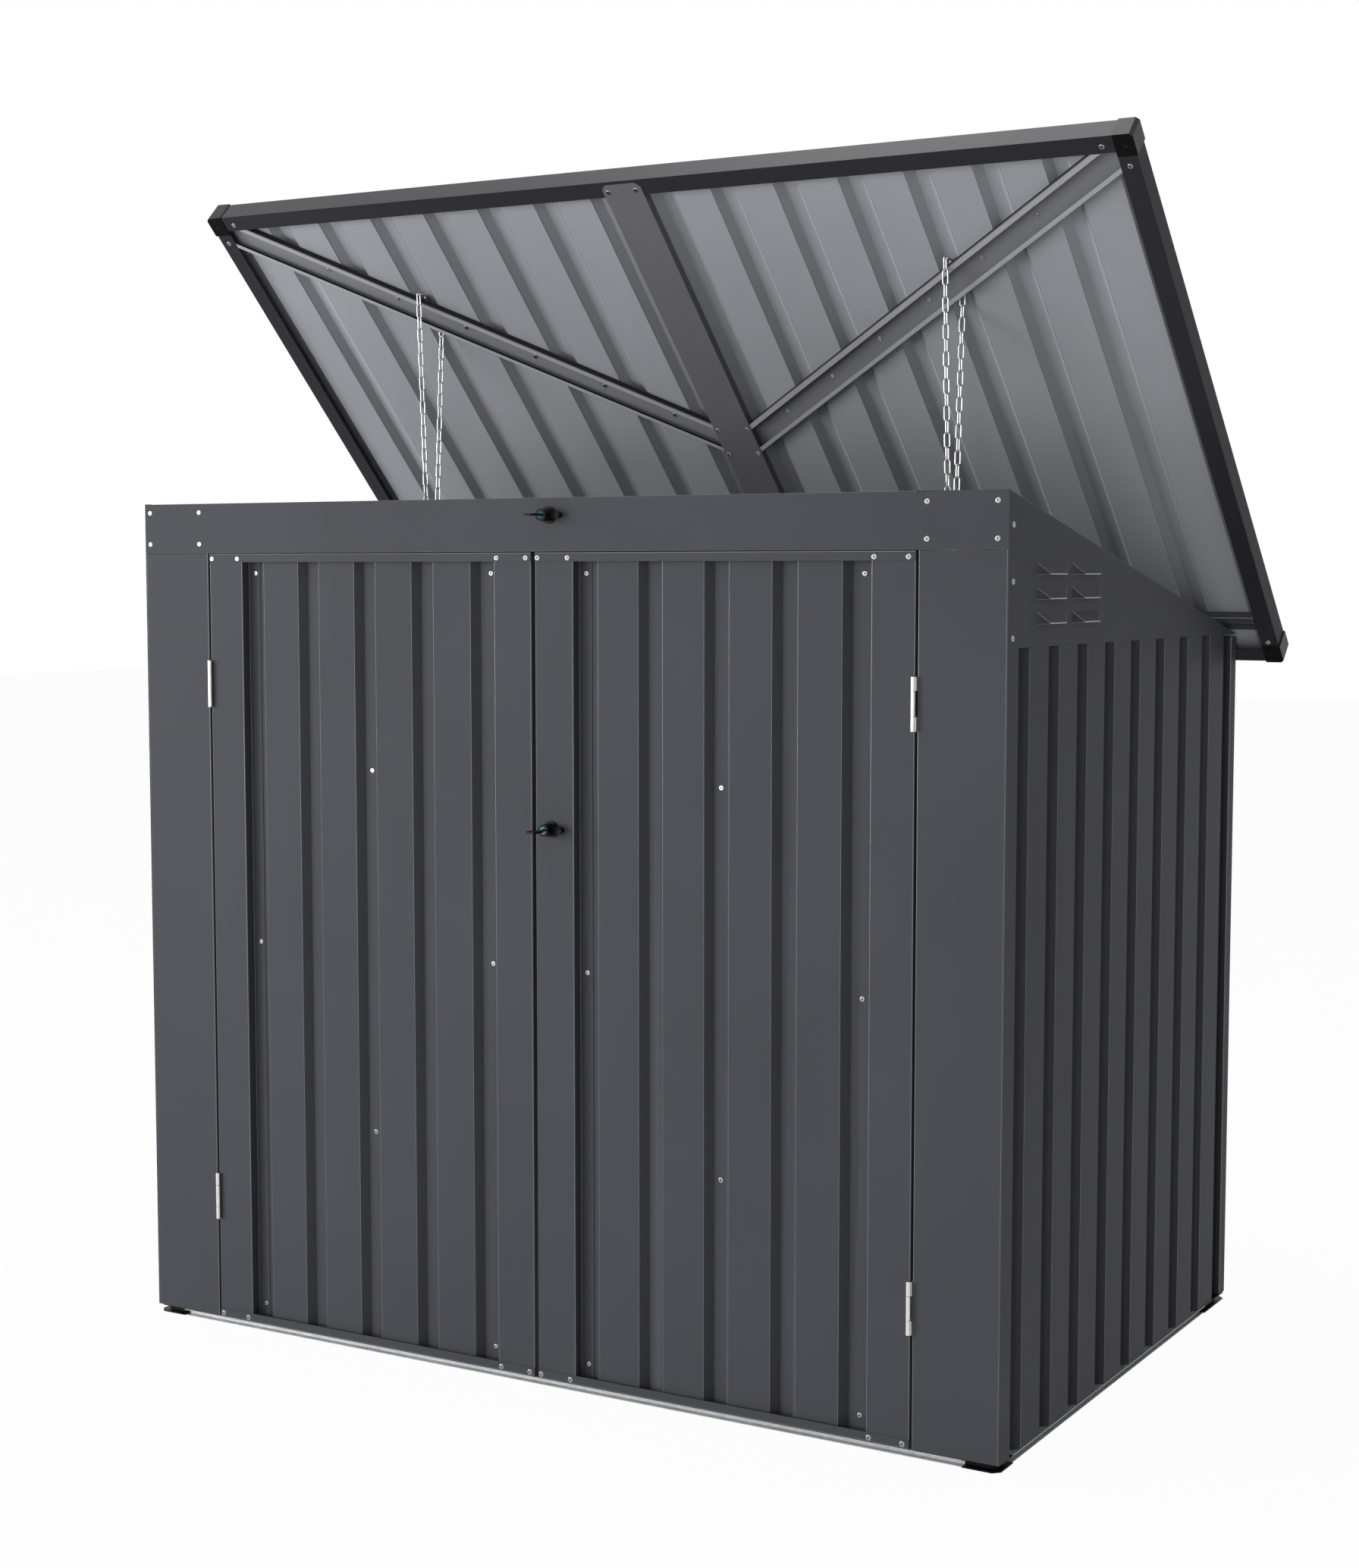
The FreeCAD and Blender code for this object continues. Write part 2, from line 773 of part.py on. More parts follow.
def make_lid_cap(outer_run, inner_run):
    """A right-hand corner cap: a thin shell open inwards, with a tongue for each rail."""
    cap = new_body()
    away = 1 if float(outer_run) > 0 else -1
    edge = lid_half + 2.2
    underside = above(-cap_wall)
    top = above(lid_depth + 0.8)
    chamfer = 5
    plan = [
        (cap_edge, inner_run), (cap_edge, outer_run), (edge - chamfer, outer_run),
        (edge, outer_run - away * chamfer), (edge, inner_run),
    ]
    extrude(cap, "z", on_plan(plan), underside, top)
    room = [
        (cap_edge, inner_run), (cap_edge, outer_run - away * cap_wall),
        (edge - 1.4, outer_run - away * cap_wall), (edge - 1.4, inner_run),
    ]
    cut(cap, "z", on_plan(room), above(0), above(lid_depth) - 0.6)
    # The tongues sit inside the webs of the rails, under the edge of the roof.
    tongue = 2
    reach = 20
    low = above(1.2)
    high = above(10.8)
    web = lid_half - 1.2
    side_tongue = box(web - tongue, web, inner_run - away * reach, inner_run + away * 10)
    extrude(cap, "z", on_plan(side_tongue), low, high)
    web = outer_run - away * (cap_wall + 1.2)
    cross_tongue = box(cap_edge - reach, cap_edge + 10, web - away * tongue, web)
    extrude(cap, "z", on_plan(cross_tongue), low, high)
    floor = [
        (cap_edge + 2, inner_run + away * 2), (cap_edge + 2, web),
        (lid_half - 1.2, web), (lid_half - 1.2, inner_run + away * 2),
    ]
    extrude(cap, "z", on_plan(floor), above(0), low)
    on_lid(cap)
    return cap


def make_roof():
    """Two ribbed sheets that meet over the centre strip, each running into the frame."""
    sheet_body = new_body()
    opening = 20.4
    top = 9.5
    line = [(0, above(pan_level))]
    for k in range(8):
        rib = roof_pitch * (k + 0.5)
        line += [
            (rib - opening, above(pan_level)), (rib - top, above(pan_level) + rib_depth),
            (rib + top, above(pan_level) + rib_depth), (rib + opening, above(pan_level)),
        ]
    # The last rib runs on flat, to the web of the side rail.
    line = line[:-2] + [(lid_half - 1.2, above(pan_level) + rib_depth)]
    extrude(sheet_body, "y", folded(line, thin), front_of(lid_front - 1.2), front_of(1 - lid_rear))
    keep("lid_roof_sheet_right", sheet_body, on_lid)
    keep("lid_roof_sheet_left", mirrored(sheet_body), None)

    strip = new_body()
    start = hat_front + 1.2
    turn_end = lid_front - 30.2
    tip = lid_front - 5.2
    chamfer = 8
    edge = 10
    plan = [
        (-strip_left, start), (strip_right, start), (strip_right, tip - chamfer),
        (strip_right - chamfer, tip), (chamfer - strip_left, tip), (-strip_left, tip - chamfer),
    ]
    extrude(strip, "z", on_plan(plan), above(-gauge), above(0))
    left_edge = box(-strip_left, gauge - strip_left, start, turn_end)
    right_edge = box(strip_right - gauge, strip_right, start, turn_end)
    extrude(strip, "z", on_plan(left_edge), above(0), above(edge))
    extrude(strip, "z", on_plan(right_edge), above(0), above(edge))
    keep("lid_centre_strip", strip, on_lid)


def brace_run(across):
    """Where the middle line of a brace lies, at a distance across from the middle of the lid."""
    return brace_start + brace_slope * across


def brace_band(near, far, half_band, limit):
    """A brace's plan between two places across, cut off at a limit of run."""
    turn = (limit - brace_start - half_band) / brace_slope
    points = [
        (near, brace_run(near) - half_band), (far, brace_run(far) - half_band),
    ]
    if float(turn) < float(far):
        points += [(far, limit), (turn, limit)]
    else:
        points += [(far, brace_run(far) + half_band)]
    return points + [(near, brace_run(near) + half_band)]


def make_braces():
    """Two diagonal lipped channels, from the centre strip to the front corners."""
    far = cap_edge - 0.4
    limit = lid_front - lid_flange - 0.4
    wall = 1.195
    lip = 10.04
    hands = []
    for near in (strip_right + 0.3, strip_left + 0.3):
        brace = new_body()
        extrude(brace, "z", on_plan(brace_band(near, far, brace_half, limit)), above(0), above(pan_level))
        channel = brace_band(near - 1, far + 1, brace_half - wall, limit + 1)
        cut(brace, "z", on_plan(channel), above(gauge), above(pan_level - gauge))
        slot = brace_band(near - 1, far + 1, brace_half - lip, limit + 1)
        cut(brace, "z", on_plan(slot), above(0) - 0.01, above(gauge))
        on_lid(brace)
        hands.append(brace)
    group("lid_braces", [hands[0], mirrored(hands[1])])

    hat = new_body()
    floor = -2.5
    line = [
        (hat_front, pan_level), (hat_front, floor), (hat_rear, floor),
        (hat_rear, pan_level - gauge), (hat_rear - 28.2, pan_level - gauge),
    ]
    extrude(hat, "x", folded(on_section(line), gauge), 0.4 - cap_edge, cap_edge - 0.4)
    keep("lid_hinge_rail", hat, on_lid)


LID_HINGES = (-560, 0, 560)
lid_knuckle = 4.5
lid_bore = 2.65
lid_pin_radius = 2.4


def make_lid_hinges():
    """Three hinges along the rear: leaves on the hat rail and on the rear top rail."""
    doc.recompute()
    moving = []
    fixed = []
    outer = 39.5
    inner = 15.5
    web = 0.8
    for across in LID_HINGES:
        leaf = new_body()
        plate = [
            (hat_rear - 1.4, -2.5), (hat_rear, -2.5), (hat_rear, 9), (hat_rear - 1.4, 9),
        ]
        extrude(leaf, "x", on_section(plate), across - 40, across + 40)
        bridge = [
            (axis_run, axis_level - web), (hat_rear - 1.4, axis_level - web),
            (hat_rear - 1.4, axis_level + web), (axis_run, axis_level + web),
        ]
        extrude(leaf, "x", on_section(bridge), across - 15, across + 15)
        cut(leaf, "x", polygon(SIDES, 2 * lid_bore), across - 15, across + 15)
        knuckle(leaf, "x", lid_knuckle, lid_bore, across - 15, across + 15)
        on_lid(leaf)
        moving.append(leaf)

        base = new_body()
        foot = back_height - axis_height
        plate = box(-8.6, 11.4, foot, foot + 1.5)
        extrude(base, "x", plate, across - outer, across + outer)
        for start, stop in ((across - outer, across - inner), (across + inner, across + outer)):
            extrude(base, "x", box(-web, web, foot + 1.5, 0), start, stop)
            cut(base, "x", polygon(SIDES, 2 * lid_bore), start, stop)
            knuckle(base, "x", lid_knuckle, lid_bore, start, stop)
        on_store(base, 0, axis_depth, axis_height)
        fixed.append(base)
    group("lid_hinge_leaves", moving)
    group("lid_hinge_fixed_leaves", fixed)

    pins = []
    for across in LID_HINGES:
        pin = make_pin("x", lid_pin_radius, across - outer, across + outer)
        on_store(pin, 0, axis_depth, axis_height)
        pins.append(pin)
    for lowest, _, _, highest in DOOR_HINGES:
        pin = make_pin("z", door_pin_radius, lowest, highest)
        on_store(pin, door_axis_inset, -door_axis_front)
        pins += [pin, mirrored(pin)]
    group("hinge_pins", pins)


# Screws

def make_screw_pattern():
    """A pan head seen from its shank side down, along +Z: an eight-sided button."""
    head = new_body()
    extrude(head, "z", polygon(8, 2 * head_radius), 0, head_rise)
    head.Label = "screw_pattern"
    return head


def facing(x, y, z, direction):
    """The placement of a screw head that stands out of a surface in a direction."""
    return FreeCAD.Placement(
        vector(x, y, z), FreeCAD.Rotation(FreeCAD.Vector(0, 0, 1), FreeCAD.Vector(*direction)))


FORWARD = (0, -1, 0)


def make_frame_screws(pattern):
    """Screws of the header, the pillars and the gables."""
    places = []
    for across in (-739, -636.6, 632.1, 734.2):
        for height in (1313.5, 1263.5):
            places.append(facing(across, 0, height, FORWARD))
    for height in (1281.6, 1206.7, 1131.5):
        places.append(facing(half, 16.2, height, (1, 0, 0)))
        places.append(facing(-half, 16.2, height, (-1, 0, 0)))
    scattered("frame_screws", pattern, places, on_store)


def make_door_screws(pattern, label, rail_places, columns):
    """Screws of one door: pairs at the ends of its rails, and three columns down its panel.

    The outer columns go through the flanges of the stiles, the middle one through the panel.
    """
    places = []
    for across in rail_places:
        for height in (17.5, 1240):
            places.append(facing(across, -gauge, height, FORWARD))
    for column, across in enumerate(columns):
        on_panel = column == 1
        heights = (914, 347.5) if on_panel else (1217.5, 630.7, 40)
        face = panel_step if on_panel else panel_step - gauge
        for height in heights:
            places.append(facing(across, face, height, FORWARD))
    scattered(label, pattern, places, on_store)


def make_lid_screws(pattern):
    """Screws under the lid: through the braces, the centre strip and the frame."""
    places = []
    down = (0, 0, -1)
    for k in range(1, 7):
        across = float(roof_pitch) * k
        run = float(brace_run(across))
        for side in (-1, 1):
            places.append(facing(side * across, front_of(run), above(pan_level - gauge), down))
    for across, run in ((-27.5, 1000.8), (22, 1000.8), (-30.3, 509.4), (25.7, 509.4),
                        (-30.3, 455.6), (25.7, 455.6)):
        places.append(facing(across, front_of(run), above(-gauge), down))
    for side in (-1, 1):
        for across, run, level in ((773, 1002, 0), (805.5, 966, 0), (803.6, 12, 0)):
            places.append(facing(side * across, front_of(run), above(level), down))
    scattered("lid_screws", pattern, places, on_lid)


# Locks

def make_lock(prefix, across, height, cam_reach, skin):
    """A wing-handled cam lock with its key, drawn about its own axis, which runs front to back."""

    def place(item):
        on_store(item, across, 0, height)

    bore_flats = 8
    socket_flats = 12
    housing = new_body()
    turned(housing, "y", [(0, -3), (12.5, -3), (12.5, 0), (0, 0)])
    extrude(housing, "y", polygon(SIDES, thread_flats), 0, 12)
    cut(housing, "y", polygon(SIDES, bore_flats), -3, 12)
    nut = new_body()
    extrude(nut, "y", polygon(6, 22), skin, skin + 3)
    cut(nut, "y", polygon(SIDES, thread_flats + 0.2), skin, skin + 3)
    place(housing)
    place(nut)
    group(prefix + "_lock_housing", [housing, nut])

    knob = new_body()
    extrude(knob, "y", polygon(16, 18), -22, -3.2)
    cut(knob, "y", polygon(SIDES, socket_flats), -22, -11.9)
    extrude(knob, "y", polygon(SIDES, bore_flats - 0.4), -3.2, 14)
    wing = [(0, -6), (22, -4.5), (25, -2), (25, 2), (22, 4.5), (0, 6)]
    extrude(knob, "y", wing, -11, -3.2)
    keep(prefix + "_lock_knob", knob, place)

    cam = new_body()
    breadth = 8
    tip = 5
    plate = [
        (-breadth, -4), (-tip, -cam_reach), (tip, -cam_reach), (breadth, -4), (breadth, 4),
        (4, breadth), (-4, breadth), (-breadth, 4),
    ]
    extrude(cam, "y", plate, 14, 16)
    extrude(cam, "y", polygon(8, 8), 16, 18)
    keep(prefix + "_lock_cam", cam, place)

    cylinder = new_body()
    extrude(cylinder, "y", polygon(SIDES, socket_flats - 0.6), -22.3, -12)
    keyway = cut(cylinder, "y", box(-4, 4, -1.1, 1.1), -22.3, -14.3)
    keyway.Label = prefix + "_keyway"
    keep(prefix + "_lock_cylinder", cylinder, place)

    key = new_body()
    extrude(key, "y", box(-3.8, 3.8, -0.9, 0.9), -36, -14.5)
    bow = [
        (-10, -36), (-7, -32.3), (7, -32.3), (10, -36), (10, -50), (6, -56.3), (-6, -56.3),
        (-10, -50),
    ]
    extrude(key, "z", bow, -1.5, 1.5)
    keep(prefix + "_lock_key", key, place)


# Chains

def make_link():
    """One chain link, upright and wide across X: a ring of square wire with pointed ends."""
    link = new_body()
    reach = link_pitch / 2 + wire + 0.05
    side = link_breadth / 2

    shoulder = reach - 2.2
    sketch = new_sketch(link, "y", wire / 2)
    draw_outline(sketch, [
        (0, -reach), (side, -shoulder), (side, shoulder), (0, reach), (-side, shoulder),
        (-side, -shoulder),
    ])
    draw_outline(sketch, box(wire - side, side - wire, wire - reach, reach - wire))
    pad = link.newObject("PartDesign::Pad", "pad")
    pad.Profile = sketch
    bind(pad, "Length", wire)
    link.Label = "link_pattern"
    return link


def link_at(x, start, end, edgeways):
    """The placement of a link that spans from start to end, both (y, z), at one place across."""
    direction = FreeCAD.Vector(0, end[0] - start[0], end[1] - start[1])
    turn = FreeCAD.Rotation(FreeCAD.Vector(0, 0, 1), direction)
    if edgeways:
        turn = turn.multiply(FreeCAD.Rotation(FreeCAD.Vector(0, 0, 1), 90))
    middle = vector(x, (start[0] + end[0]) / 2, (start[1] + end[1]) / 2)
    return FreeCAD.Placement(middle, turn)


def wrap_points(across):
    """The turns of a chain round its brace, in (run, level), on the plan's middle line.

    Two slanting links hold the front and rear loops, and three links lie over the brace, in the
    hollow of a rib. The middle three stand a little off the slanting ones, where the chain bends.
    """
    middle = float(brace_run(across))
    over = 18
    pitch = float(link_pitch)
    bend_gap = 0.9
    lean = math.radians(52)
    out = pitch * math.sin(lean)
    down = pitch * math.cos(lean)
    shoulder = 1.5 * pitch - bend_gap
    links = [((middle + shoulder + out, over - down), (middle + shoulder, over))]
    for k in (1.5, 0.5, -0.5):
        links.append(((middle + pitch * k, over), (middle + pitch * (k - 1), over)))
    links.append(((middle - shoulder, over), (middle - shoulder - out, over - down)))
    return links


def hook_point(inner, outer):
    """The middle of the outer cross bar of a slanting link, where a strand hangs."""
    beyond = 1 + 1.3 / float(link_pitch)
    return (
        inner[0] + (outer[0] - inner[0]) * beyond,
        inner[1] + (outer[1] - inner[1]) * beyond,
    )


def raised(run, level):
    """The place in (y, z) of the store, before its setback, of a point on the raised lid."""
    angle = math.radians(float(lid_angle))
    ahead = float(front_of(run))
    up = float(above(level))
    return (
        float(axis_depth) + ahead * math.cos(angle) + up * math.sin(angle),
        float(axis_height) - ahead * math.sin(angle) + up * math.cos(angle),
    )


def make_chains(link):
    """Two chains, each wrapped round a brace, with two strands that hang to one place."""
    wraps = []
    across = float(roof_pitch) * 4.5
    links = wrap_points(across)
    for side in (-1, 1):
        for k, (start, end) in enumerate(links):
            here = [(float(front_of(run)), float(above(level))) for run, level in (start, end)]
            wraps.append(link_at(side * across, here[0], here[1], k % 2 == 1))
    scattered("lid_chain_wraps", link, wraps, on_lid)

    front = raised(*hook_point(links[0][1], links[0][0]))
    rear = raised(*hook_point(links[-1][0], links[-1][1]))
    meeting = (front[0] + rear[0]) / 2
    apart = 6
    for side, hand in ((-1, "left"), (1, "right")):
        for name, top, step in (("front", front, -apart), ("rear", rear, apart)):
            places = strand(side * across, top, (meeting + step, chain_end))
            scattered("chain_%s_%s" % (hand, name), link, places, on_store)


def strand(across, hook, end):
    """The placements of the links of one hanging strand, from the bar that it hooks over."""
    pitch = float(link_pitch)
    slack = 1.8
    run = end[0] - hook[0]
    drop = end[1] - hook[1]
    length = math.hypot(run, drop)
    step = (run / length, drop / length)
    places = []
    for k in range(round(length / pitch)):
        near = pitch * k - slack
        start = (hook[0] + step[0] * near, hook[1] + step[1] * near)
        stop = (start[0] + step[0] * pitch, start[1] + step[1] * pitch)
        places.append(link_at(across, start, stop, k % 2 == 0))
    return places


make_ground_frame()
make_front_frame()
make_rear_frame()
make_panels()
make_gables()
make_door_frame()
make_door_panel("left_door_panel", -313.9)
make_door_panel("right_door_panel", 305.7)
make_door_hinges()
make_lid_frame()
make_roof()
make_braces()
make_lid_hinges()
screw = make_screw_pattern()
make_frame_screws(screw)
make_door_screws(screw, "left_door_screws", (-610.1, -558.6, -63.9, -12.1), (-536, -310.7, -85.6))
make_door_screws(screw, "right_door_screws", (8.6, 60.6, 554.5, 606), (82.2, 307.6, 532.3))
make_lid_screws(screw)
make_lock("lid", lid_lock_across, lid_lock_height, lid_cam_reach, gauge)
make_lock("door", door_lock_across, door_lock_height, door_cam_reach, gauge)
make_chains(make_link())
doc.recompute()

for item in doc.Objects:
    if "Invalid" in item.State or "Error" in item.State:
        raise RuntimeError("%s did not build: %s" % (item.Label, item.State))
for item in kept:
    if item.Shape.isNull() or not item.Shape.isValid():
        raise RuntimeError("%s has no sound shape" % item.Label)
    item.Shape.exportStep("parts/%s.step" % item.Label)
print("%d sub-parts written" % len(kept))
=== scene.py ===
"""Double wheelie bin store: powder coated sheet, black plastic, zinc rails and bright fixings.

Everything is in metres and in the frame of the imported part. The lid stands raised, at rest.
"""
import json
import math

import bpy
import numpy as np
from mathutils import Matrix, Vector

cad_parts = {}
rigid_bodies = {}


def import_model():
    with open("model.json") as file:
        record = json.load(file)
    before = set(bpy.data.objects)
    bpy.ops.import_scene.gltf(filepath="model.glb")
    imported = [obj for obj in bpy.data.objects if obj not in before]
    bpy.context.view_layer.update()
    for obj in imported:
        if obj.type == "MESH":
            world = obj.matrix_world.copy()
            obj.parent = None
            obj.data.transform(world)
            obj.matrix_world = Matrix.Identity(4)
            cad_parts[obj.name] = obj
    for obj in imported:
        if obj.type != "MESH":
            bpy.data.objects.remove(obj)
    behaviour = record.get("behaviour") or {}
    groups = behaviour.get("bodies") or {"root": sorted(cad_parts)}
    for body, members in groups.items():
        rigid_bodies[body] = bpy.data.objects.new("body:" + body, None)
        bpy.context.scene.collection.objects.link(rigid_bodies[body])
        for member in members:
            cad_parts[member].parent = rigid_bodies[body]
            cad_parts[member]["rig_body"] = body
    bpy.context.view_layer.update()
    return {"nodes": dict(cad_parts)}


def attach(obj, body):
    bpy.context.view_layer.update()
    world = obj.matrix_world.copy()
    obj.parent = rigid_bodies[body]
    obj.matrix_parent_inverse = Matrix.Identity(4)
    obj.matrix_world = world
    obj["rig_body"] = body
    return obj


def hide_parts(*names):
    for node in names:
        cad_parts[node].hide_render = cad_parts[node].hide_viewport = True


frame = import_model()
nodes = frame["nodes"]

MM = 0.001

# The carcass, in millimetres: its front face is SETBACK before the middle of the frame.
SETBACK = 479.85
FOLD_DEPTH = 25
HEADER_BOTTOM = 1249.3
STOP_LIP_REACH = 617
STOP_LIP_DROP = 8
SEAM = 0.8
GABLE_FACE = 750
NARROWEST_FACE = 2.5
FORWARD = Vector((0, -1, 0))

# The lid, measured flat, in millimetres: across it, forward from its hinge end, and up from its
# underside. It stands raised about its hinge axis, LID_AXIS.
LID_AXIS = (0, 457.75, 1131.6)
LID_ANGLE = math.radians(44.82)
AXIS_RUN = 45
AXIS_LEVEL = 5
CAP_SIDE = 822
CAP_ENDS = (1020.7, -34.5)
CORNER_WEB_MIDDLE = 17.3
CORNER_WEB_HEIGHT = 36
DIMPLE_SIDE = 807
DIMPLE_RUNS = (1002, -16)
LID_DOWN = Vector((0, -math.sin(LID_ANGLE), -math.cos(LID_ANGLE)))
LID_FRONT = Vector((0, -math.cos(LID_ANGLE), math.sin(LID_ANGLE)))

# Fixings, in millimetres.
SCREW_RADIUS = 4.5
SCREW_HEAD = 2.2
LINK_WIRE = 1.25
LINK_BEND = 4.25
LINK_REACH = 7.05


# Materials

def new_material(name, roughness, metallic=0.0, specular=0.5):
    """A material with its Principled shader, and the Object coordinates that feed its patterns."""
    material = bpy.data.materials.new(name)
    material.use_nodes = True
    tree = material.node_tree
    shader = tree.nodes["Principled BSDF"]
    shader.inputs["Roughness"].default_value = roughness
    shader.inputs["Metallic"].default_value = metallic
    shader.inputs["Specular IOR Level"].default_value = specular
    place = tree.nodes.new("ShaderNodeTexCoord")
    return material, tree, shader, place.outputs["Object"]


def noise(tree, place, scale, detail=3.0, roughness=0.5):
    """A noise pattern on a piece's own coordinates."""
    pattern = tree.nodes.new("ShaderNodeTexNoise")
    pattern.inputs["Scale"].default_value = scale
    pattern.inputs["Detail"].default_value = detail
    pattern.inputs["Roughness"].default_value = roughness
    tree.links.new(place, pattern.inputs["Vector"])
    return pattern.outputs["Fac"]


def ramp(tree, factor, stops):
    """A colour ramp of (position, colour) stops."""
    node = tree.nodes.new("ShaderNodeValToRGB")
    elements = node.color_ramp.elements
    while len(elements) < len(stops):
        elements.new(0.5)
    for element, (position, colour) in zip(elements, stops):
        element.position = position
        element.color = (*colour, 1)
    tree.links.new(factor, node.inputs["Fac"])
    return node.outputs["Color"]


def spread(tree, factor, low, high):
    """A pattern brought to the range from low to high."""
    node = tree.nodes.new("ShaderNodeMapRange")
    node.inputs["To Min"].default_value = low
    node.inputs["To Max"].default_value = high
    tree.links.new(factor, node.inputs["Value"])
    return node.outputs["Result"]


def bump(tree, shader, height, strength, distance):
    """Relief from a pattern."""
    node = tree.nodes.new("ShaderNodeBump")
    node.inputs["Strength"].default_value = strength
    node.inputs["Distance"].default_value = distance
    tree.links.new(height, node.inputs["Height"])
    tree.links.new(node.outputs["Normal"], shader.inputs["Normal"])


def shade_of(colour, factor):
    """A colour made lighter or darker."""
    return tuple(channel * factor for channel in colour)


def powder_coat(name, colour, roughness, ior=1.16):
    """Baked powder paint: a fine pebbled skin with a faint drift of tone."""
    material, tree, shader, place = new_material(name, roughness)
    shader.inputs["IOR"].default_value = ior
    drift = noise(tree, place, 3.0)
    tone = ramp(tree, drift, [(0.3, shade_of(colour, 0.95)), (0.7, shade_of(colour, 1.05))])
    tree.links.new(tone, shader.inputs["Base Color"])
    grain = noise(tree, place, 900, detail=2.0)
    dull = spread(tree, grain, roughness - 0.05, roughness + 0.06)
    tree.links.new(dull, shader.inputs["Roughness"])
    bump(tree, shader, grain, 0.05, 0.0002)
    return material


def moulded_plastic(name, colour, roughness, ior=1.5):
    """Moulded black plastic with a fine spark-eroded grain."""
    material, tree, shader, place = new_material(name, roughness)
    shader.inputs["IOR"].default_value = ior
    drift = noise(tree, place, 60)
    tone = ramp(tree, drift, [(0.3, shade_of(colour, 0.8)), (0.7, shade_of(colour, 1.25))])
    tree.links.new(tone, shader.inputs["Base Color"])
    grain = noise(tree, place, 2500, detail=1.0)
    bump(tree, shader, grain, 0.15, 0.0001)
    return material


def galvanised_steel(name, colour, roughness):
    """Hot dipped zinc: the flat crystals of its spangle, a little duller here and there."""
    material, tree, shader, place = new_material(name, roughness, metallic=0.5)
    crystals = tree.nodes.new("ShaderNodeTexVoronoi")
    crystals.inputs["Scale"].default_value = 120
    tree.links.new(place, crystals.inputs["Vector"])
    tone = ramp(tree, crystals.outputs["Color"], [
        (0.0, shade_of(colour, 0.86)), (1.0, shade_of(colour, 1.04))])
    tree.links.new(tone, shader.inputs["Base Color"])
    dulling = noise(tree, place, 14)
    dull = spread(tree, dulling, roughness - 0.08, roughness + 0.12)
    tree.links.new(dull, shader.inputs["Roughness"])
    return material


def bright_steel(name, colour, roughness):
    """Zinc plated or polished steel with fine marks of handling."""
    material, tree, shader, place = new_material(name, roughness, metallic=1.0)
    cloud = noise(tree, place, 180)
    tone = ramp(tree, cloud, [(0.3, shade_of(colour, 0.9)), (0.7, colour)])
    tree.links.new(tone, shader.inputs["Base Color"])
    marks = noise(tree, place, 1400, detail=2.0)
    dull = spread(tree, marks, roughness - 0.06, roughness + 0.1)
    tree.links.new(dull, shader.inputs["Roughness"])
    bump(tree, shader, marks, 0.08, 0.00006)
    return material


coat = powder_coat("anthracite_coat", (0.068, 0.069, 0.08), 0.5)
# Folds: a coat twice as light as the body's, a painted highlight along each rounded fold; its low
# roughness and high IOR add a real glossy sheen.
fold_highlight_coat = powder_coat("fold_painted_highlight_coat", (0.14, 0.141, 0.157), 0.22, ior=1.62)
# The lid front rail's web, which looks up and forward: lighter than the rest of that rail, a
# painted sheen, with some real gloss from its higher IOR.
rail_web_sheen_coat = powder_coat("rail_web_painted_sheen", (0.05, 0.05, 0.054), 0.45, ior=1.28)
# The louvres' rounded edges and lips: a near white coat, a painted highlight.
louvre_highlight_coat = powder_coat("louvre_painted_highlight", (0.42, 0.42, 0.44), 0.24, ior=1.5)
# A near black coat, painted shade: it covers the lid's rails and the braces' walls that look
# forward, where the lid's underside lies in shadow.
shade_dark_coat = powder_coat("painted_shade_coat", (0.03, 0.0295, 0.036), 0.5)
backing = powder_coat("backing_coat", (0.38, 0.384, 0.416), 0.5)
strip_coat = powder_coat("mid_grey_coat", (0.155, 0.155, 0.164), 0.5)
brace_coat = powder_coat("light_grey_coat", (0.42, 0.422, 0.45), 0.45)
# The braces' deep webs: a darker grey than their lips, painted shade in the recess; the braces'
# folds take it too.
brace_web_shade_coat = powder_coat("brace_web_shade_coat", (0.24, 0.242, 0.262), 0.5)
black = moulded_plastic("black_moulding", (0.005, 0.005, 0.0055), 0.36, ior=1.2)
cap_satin = moulded_plastic("cap_satin_moulding", (0.03, 0.03, 0.031), 0.45, ior=1.28)
cap_under = moulded_plastic("cap_underside_moulding", (0.006, 0.006, 0.0065), 0.6, ior=1.12)
zinc_rail = galvanised_steel("galvanised_rail", (0.52, 0.53, 0.54), 0.4)
zinc_screw = bright_steel("zinc_plated_screw", (0.29, 0.29, 0.29), 0.22)
hinge_steel = bright_steel("hinge_steel", (0.68, 0.67, 0.64), 0.3)
chain_steel = bright_steel("chain_steel", (0.6, 0.6, 0.6), 0.16)
lock_steel = bright_steel("blued_lock_face", (0.018, 0.044, 0.056), 0.2)


# Modelling

def deselect():
    """Leave nothing selected, so that an operator acts on one piece only."""
    bpy.ops.object.select_all(action="DESELECT")


def take(piece):
    """Select one piece alone and make it the active one."""
    deselect()
    bpy.context.view_layer.objects.active = piece
    piece.select_set(True)


def edit(piece, mode="VERT"):
    """Enter edit mode on a piece with nothing in it selected."""
    take(piece)
    bpy.ops.object.mode_set(mode="EDIT")
    bpy.ops.mesh.select_mode(type=mode)
    bpy.ops.mesh.select_all(action="DESELECT")


def leave():
    """Back to object mode."""
    bpy.ops.object.mode_set(mode="OBJECT")


def pick(piece, kind, wanted):
    """Select the vertices, edges or faces of a piece that a test wants, then enter edit mode."""
    edit(piece, {"vertices": "VERT", "edges": "EDGE", "polygons": "FACE"}[kind])
    leave()
    for part in getattr(piece.data, kind):
        part.select = bool(wanted(part))
    bpy.ops.object.mode_set(mode="EDIT")


